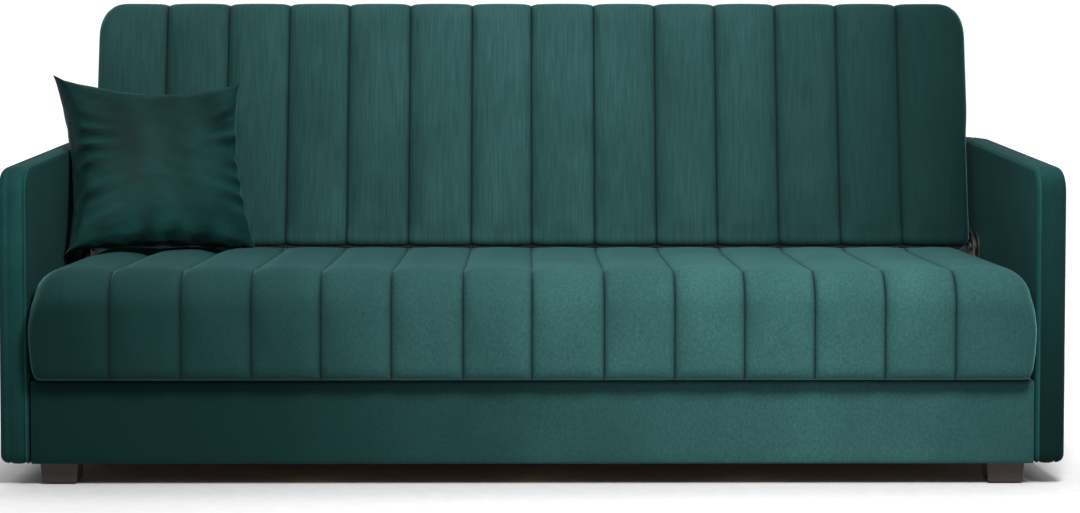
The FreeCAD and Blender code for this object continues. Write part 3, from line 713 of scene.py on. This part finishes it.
def tube_along(name, path, radius, closed, material):
    """A round cord along a path of points."""
    count, around = len(path), 8
    if closed:
        forward = np.roll(path, -1, 0) - np.roll(path, 1, 0)
    else:
        forward = np.gradient(path, axis=0)
    forward /= np.linalg.norm(forward, axis=1)[:, None]
    side = np.cross(forward, (1.0, 0.0, 0.0))
    flat = np.linalg.norm(side, axis=1) < 0.1
    side[flat] = np.cross(forward[flat], (0.0, 0.0, 1.0))
    side /= np.linalg.norm(side, axis=1)[:, None]
    other = np.cross(forward, side)
    turns = [2 * math.pi * k / around for k in range(around)]
    rings = [path + radius * (side * math.cos(t) + other * math.sin(t)) for t in turns]
    vertices = np.stack(rings, axis=1).reshape(-1, 3)
    faces = []
    for i in range(count if closed else count - 1):
        n = (i + 1) % count
        for k in range(around):
            m = (k + 1) % around
            faces.append((i * around + k, n * around + k, n * around + m, i * around + m))
    if not closed:
        faces += [tuple(range(around))[::-1], tuple(range((count - 1) * around, count * around))]
    made = new_object(name, vertices, faces, material)
    face_outwards(made)
    return made


INNER_EDGE, OUTER_EDGE = 0.008, 0.016
WELT_RADIUS = 0.0026


def paint_arm_shade(piece, side, inner_x, top):
    """Painted shade on the arm, partly where the pile lies another way: darker on the lower front, and a shade of
    its own on the inner face and on the top.
    """
    points = vertex_array(piece)
    on_front, at_foot, on_inner, on_top = ARM_PILE_AND_SHADE[side]
    pile_and_shade = at_foot + (on_front - at_foot) * smoothstep(points[:, 2], 0.12, 0.5)
    inside = 1 - smoothstep(np.abs(points[:, 0] - inner_x), 0.002, 0.008)
    above = smoothstep(points[:, 2], top - 0.075, top - 0.045)
    pile_and_shade += (on_inner - pile_and_shade) * inside
    pile_and_shade += (on_top - pile_and_shade) * above * (1 - inside)
    add_attribute(piece, "pile_and_shade", pile_and_shade)


# Painted shade on the front, at its foot, on the inner face and on the top; tuned in the same way as the shares
# above
ARM_PILE_AND_SHADE = {"left": (0.0, 0.57, 0.67, 0.1), "right": (0.67, 0.95, 0.1, 0.25)}


def build_arm(side):
    low, high = corners_of(f"arm_cover_{side}")
    front, rear = low[1], high[1]
    bottom, top = low[2], high[2]
    shoulder = 0.609
    outline = [
        (front, bottom),
        (front, shoulder),
        (rear - 0.14, top - 0.001),
        (rear, top),
        (rear, bottom),
    ]
    radii = (0.018, 0.05, 0.2, 0.022, 0.018)
    loop, normals = rounded_outline(outline, radii, 0.010)
    edges = (INNER_EDGE, OUTER_EDGE) if side == "right" else (OUTER_EDGE, INNER_EDGE)
    columns = slab_columns(loop, normals, low[0], high[0], edges, 0.0012, 0.0022)
    made = close_slab(f"arm_{side}", columns, 0.0, ARM_VELVET)
    paint_arm_shade(made, side, low[0] if side == "right" else high[0], top)
    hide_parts(f"arm_cover_{side}", f"arm_padding_{side}")
    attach(made, "base")
    inner_x = low[0] + INNER_EDGE - 0.002 if side == "right" else high[0] - INNER_EDGE + 0.002
    path = seam_path(loop - normals * WELT_RADIUS * 0.8, inner_x)
    cord = tube_along(f"arm_welt_{side}", path, WELT_RADIUS, True, ARM_VELVET)
    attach(cord, "base")


for side in ("left", "right"):
    build_arm(side)


def build_fascia():
    low, high = corners_of("fascia_cover")
    outline = [(low[1], low[2]), (low[1], high[2]), (high[1], high[2]), (high[1], low[2])]
    loop, _ = rounded_outline(outline, (0.008, 0.008, 0.003, 0.003), 0.012)
    rows = np.linspace(low[0], high[0], 160)
    columns = []
    for x in rows:
        ring = loop.copy()
        front = smoothstep(-ring[:, 0], -low[1] - 0.004, -low[1])
        ring[:, 0] += front * (0.0012 + 0.0012 * wave_noise(np.full(len(ring), x), ring[:, 1], 0.35, 5))
        columns.append(np.column_stack([np.full(len(ring), x), ring]))
    made = capped_tube("box_front", columns, SEAT_VELVET)
    # Painted shade across the box front, partly where the pile lies another way
    paint_pile_and_shade(made, *PILE_AND_SHADE["box_front"])
    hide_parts("fascia_cover", "fascia_padding")
    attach(made, "base")


build_fascia()


# Feet


def build_foot(node):
    low, high = corners_of(node)
    taper = 0.0035
    bevel = 0.002
    vertices = []
    for z, inset in ((low[2], taper), (high[2], 0.0)):
        for x, y in ((low[0] + inset, low[1] + inset), (high[0] - inset, low[1] + inset),
                     (high[0] - inset, high[1] - inset), (low[0] + inset, high[1] - inset)):
            vertices.append((x, y, z))
    faces = [(3, 2, 1, 0), (4, 5, 6, 7), (0, 1, 5, 4), (1, 2, 6, 5), (2, 3, 7, 6), (3, 0, 4, 7)]
    made = new_object(node.replace("foot", "foot_block"), vertices, faces, SLOTS["foot_wood"])
    modifier = made.modifiers.new("bevel", "BEVEL")
    modifier.width = bevel
    modifier.segments = 3
    modifier.harden_normals = True
    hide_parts(node)
    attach(made, "base")


for row in ("front", "rear"):
    for side in ("left", "right"):
        build_foot(f"foot_{row}_{side}")


# Pillow: two squares of cloth sewn at the edge and filled

PILLOW_WIDTH, PILLOW_HEIGHT = 0.414, 0.385
PILLOW_HALF_THICK = 0.066
PILLOW_HOLLOW = 0.017
TOP_HOLLOW, LOW_HOLLOW = 0.026, 0.006
PILLOW_CELLS = 72
YAW, LEAN, ROLL = math.radians(28.4), math.radians(-18.9), math.radians(1.9)
PILLOW_TURN = (
    Matrix.Rotation(YAW, 3, "Z") @ Matrix.Rotation(LEAN, 3, "X") @ Matrix.Rotation(ROLL, 3, "Y")
)
ARM_FACE = corners_of("arm_cover_left")[1][0]
TOUCH = 0.001
ZIP_RADIUS = 0.0022
BACK_GAP = 0.031  # the pillow's upper right corner to the back
ARM_SHOULDER = 0.612  # height of the arm just behind its front
ARM_SLOPE = 0.056


def pillow_point(u, v, layer):
    """A point of the filled pillow before the cloth settles; u and v run from -1 to 1."""
    x = u * (PILLOW_WIDTH / 2 - PILLOW_HOLLOW * (1 - v * v))
    z = v * (PILLOW_HEIGHT / 2 - (TOP_HOLLOW if v > 0 else LOW_HOLLOW) * (1 - u * u))
    puff = (max(0.0, 1 - abs(u) ** 2.4) * max(0.0, 1 - abs(v) ** 2.4)) ** 0.55
    return (x, -layer * PILLOW_HALF_THICK * puff, z)


def crease(u, v):
    """Depth of creases fanning in from the left and right edges' middles, and fainter ones below."""
    along = v * (1.0 + 0.9 * (1 - abs(u)))
    wave = math.sin(along * 19 + 2.5 * math.sin(4.1 * v + u) + (0.8 if u > 0 else 0.0))
    wave += 0.6 * math.sin(along * 31 - 3.0 * u + 1.1)
    fan = wave * math.exp(-(((0.88 - abs(u)) / 0.28) ** 2)) * max(0.0, 1 - (v / 0.85) ** 2)
    low = math.sin(u * 15 + 2 * math.sin(3 * u)) * math.exp(-(((0.8 + v) / 0.16) ** 2)) * (1 - u * u)
    return 0.0045 * fan + 0.003 * low


def pillow_mesh():
    index, vertices, faces = {}, [], []
    span = range(PILLOW_CELLS + 1)
    for layer in (1, -1):
        for i in span:
            for j in span:
                edge = i in (0, PILLOW_CELLS) or j in (0, PILLOW_CELLS)
                if edge and layer == -1:
                    index[layer, i, j] = index[1, i, j]
                    continue
                index[layer, i, j] = len(vertices)
                u, v = (math.sin(math.pi / 2 * (2 * k / PILLOW_CELLS - 1)) for k in (i, j))
                vertices.append(pillow_point(u, v, layer))
        for i in span[:-1]:
            for j in span[:-1]:
                quad = [(i, j), (i + 1, j), (i + 1, j + 1), (i, j + 1)]
                faces.append([index[layer, *corner] for corner in (quad if layer == 1 else quad[::-1])])
    low_edge = [index[1, i, 0] for i in span]
    creases = np.zeros(len(vertices))
    for (layer, i, j), number in index.items():
        u, v = (math.sin(math.pi / 2 * (2 * k / PILLOW_CELLS - 1)) for k in (i, j))
        creases[number] = -layer * crease(u, v) * min(1.0, 6 * (1 - max(abs(u), abs(v))))
    return vertices, faces, low_edge, creases


def pillow_place():
    """Its left edge touches the arm, its lowest corner the seat, its upper right corner nears the back."""
    half_w, half_h = PILLOW_WIDTH / 2, PILLOW_HEIGHT / 2
    left = PILLOW_TURN @ Vector((PILLOW_HOLLOW - half_w, 0, 0))
    low = PILLOW_TURN @ Vector((-half_w, 0, -half_h))
    corner = PILLOW_TURN @ Vector((half_w, 0, half_h))
    x = ARM_FACE + TOUCH - left.x
    z = HINGE[2] + 5 * TOUCH - low.z
    rise = z + corner.z - HINGE[2]
    lean = math.pi / 2 - UPRIGHT
    y = HINGE[1] + (rise * math.sin(lean) - BACK_GAP) / math.cos(lean) - corner.y
    return np.array((x, y, z))


def press_pillow(points):
    """Flatten the pillow where it meets the seat, the back and the arm."""
    pressed = points.copy()
    pressed[:, 2] = np.maximum(pressed[:, 2], HINGE[2] + TOUCH)
    facing = np.array((0.0, -math.sin(UPRIGHT), math.cos(UPRIGHT)))
    gap = (pressed - HINGE) @ facing
    pressed += facing * np.maximum(TOUCH - gap, 0.0)[:, None]
    arm_front = corners_of("arm_cover_left")[0][1]
    arm_top = ARM_SHOULDER + (pressed[:, 1] - arm_front - 0.05) * ARM_SLOPE
    beside = pressed[:, 2] < arm_top + 0.002
    pressed[:, 0] = np.where(beside, np.maximum(pressed[:, 0], ARM_FACE + TOUCH), pressed[:, 0])
    return pressed


def build_pillow():
    vertices, faces, low_edge, creases = pillow_mesh()
    made = new_object("pillow", vertices, faces, PILLOW_VELVET)
    face_outwards(made)
    inflate(made, np.zeros(len(vertices), bool), 2.5, 0.03, 0.010, stiffness=8.0, bending=0.08, frames=16)
    points = vertex_array(made)
    points[:, 1] += creases
    rise = points[:, 2] / (PILLOW_HEIGHT / 2)
    patches = wave_noise(points[:, 0] * 1.6, points[:, 2], 0.22, 11)
    # Painted light and shade on the pillow: darker towards the top, lighter lower down, with random patches
    pile_and_shade = 0.38 + 0.3 * rise + 0.35 * patches
    pile_and_shade += np.sign(points[:, 1]) * creases * 110.0  # painted shade in the crease troughs, painted highlight on the ridges
    add_attribute(made, "pile_and_shade", np.clip(pile_and_shade, 0.0, 1.0))
    points = points @ np.array(PILLOW_TURN).T + pillow_place()
    points = press_pillow(points)
    set_vertices(made, points)
    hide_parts("pillow_cover", "pillow_filling")
    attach(made, "pillow")
    cells = len(low_edge)
    path = points[low_edge[cells // 4 : 3 * cells // 4]]
    tape = tube_along("pillow_zip_coil", path, ZIP_RADIUS, False, SLOTS["zip_plastic"])
    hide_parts("pillow_zip")
    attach(tape, "pillow")


build_pillow()

# Floor, lights and camera


# Painted light: the floor glows all round the sofa's shadow: axis, side, where the glow starts and ends, strength
FLOOR_GLOW = (
    ("Y", 1, 0.6, 2.0, 0.7),
    ("Y", -1, 0.44, 0.6, 0.12),
    ("X", 1, 1.02, 1.25, 0.4),
    ("X", -1, 0.98, 1.2, 0.4),
)


def build_floor():
    n = Nodes("floor")
    speck = n.noise(30.0, (1, 1, 1))
    tone = n.ramp(speck, [(0.3, (0.50, 0.50, 0.50)), (0.7, (0.54, 0.54, 0.54))])
    place = n.add("ShaderNodeSeparateXYZ")
    n.link(n.coords, place.inputs[0])
    glow = None
    for axis, flip, low, high, strength in FLOOR_GLOW:
        along = n.add("ShaderNodeMath", operation="MULTIPLY")
        along.inputs[1].default_value = flip
        n.link(place.outputs[axis], along.inputs[0])
        span = n.add("ShaderNodeMapRange", interpolation_type="SMOOTHSTEP")
        for key, value in (("From Min", low), ("From Max", high), ("To Min", 0.0), ("To Max", strength)):
            span.inputs[key].default_value = value
        n.link(along.outputs[0], span.inputs["Value"])
        if glow is None:
            glow = span.outputs["Result"]
            continue
        most = n.add("ShaderNodeMath", operation="MAXIMUM")
        n.link(glow, most.inputs[0])
        n.link(span.outputs["Result"], most.inputs[1])
        glow = most.outputs[0]
    # Painted light: the floor's glow is emission, strongest away from the sofa
    n.link(glow, n.shader.inputs["Emission Strength"])
    material = n.finish(tone, 0.9, Emission_Color=(1, 1, 1, 1))
    corners = [(-40, -40, 0), (40, -40, 0), (40, 40, 0), (-40, 40, 0)]
    floor = new_object("floor", corners, [(0, 1, 2, 3)], material, smooth=False)


def area_light(name, place, aim, size, power):
    data = bpy.data.lights.new(name, "AREA")
    data.shape = "RECTANGLE"
    data.size, data.size_y = size
    data.energy = power
    lamp = bpy.data.objects.new(name, data)
    lamp.location = place
    lamp.rotation_mode = "QUATERNION"
    lamp.rotation_quaternion = (Vector(aim) - Vector(place)).to_track_quat("-Z", "Y")
    bpy.context.scene.collection.objects.link(lamp)


def studio_world():
    """White behind the sofa and overhead, dim in front, so that the area lights shape it."""
    world = bpy.data.worlds.new("studio")
    world.use_nodes = True
    tree = world.node_tree
    background = tree.nodes["Background"]
    direction = tree.nodes.new("ShaderNodeTexCoord").outputs["Generated"]
    split = tree.nodes.new("ShaderNodeSeparateXYZ")
    tree.links.new(direction, split.inputs[0])
    terms = []
    for axis, low, high, strength in (("Y", 0.1, 0.5, WALL_LIGHT), ("Z", 0.3, 0.75, SKY_LIGHT)):
        span = tree.nodes.new("ShaderNodeMapRange")
        span.interpolation_type = "SMOOTHSTEP"
        span.inputs["From Min"].default_value = low
        span.inputs["From Max"].default_value = high
        span.inputs["To Min"].default_value = DIM_LIGHT
        span.inputs["To Max"].default_value = strength
        tree.links.new(split.outputs[axis], span.inputs["Value"])
        terms.append(span.outputs["Result"])
    most = tree.nodes.new("ShaderNodeMath")
    most.operation = "MAXIMUM"
    for term, socket in zip(terms, most.inputs):
        tree.links.new(term, socket)
    tree.links.new(most.outputs[0], background.inputs["Strength"])
    background.inputs["Color"].default_value = (1, 1, 1, 1)
    bpy.context.scene.world = world


WALL_LIGHT = 1.1
SKY_LIGHT = 0.95
DIM_LIGHT = 0.03
build_floor()
studio_world()
area_light("key", (0.8, -2.35, 2.5), (0.4, -0.2, 0.4), (0.7, 0.7), 165)

scene = bpy.context.scene
scene.view_settings.view_transform = "Standard"

LENS, SENSOR_WIDTH = 73.863333, 36.0  # mm
camera_data = bpy.data.cameras.new("camera")
camera_data.sensor_width = SENSOR_WIDTH
camera_data.lens = LENS
camera_data.shift_y = -0.0666
camera_data.clip_end = 200.0
camera = bpy.data.objects.new("camera", camera_data)
scene.collection.objects.link(camera)
camera.location = (-0.009, SEAT_LOW[1] - 4.177, 0.760)
PITCH, SWING = 2.455, 0.305  # degrees: down and to the right
camera.rotation_euler = Euler((math.radians(90 - PITCH), 0, math.radians(-SWING)), "XYZ")
scene.camera = camera
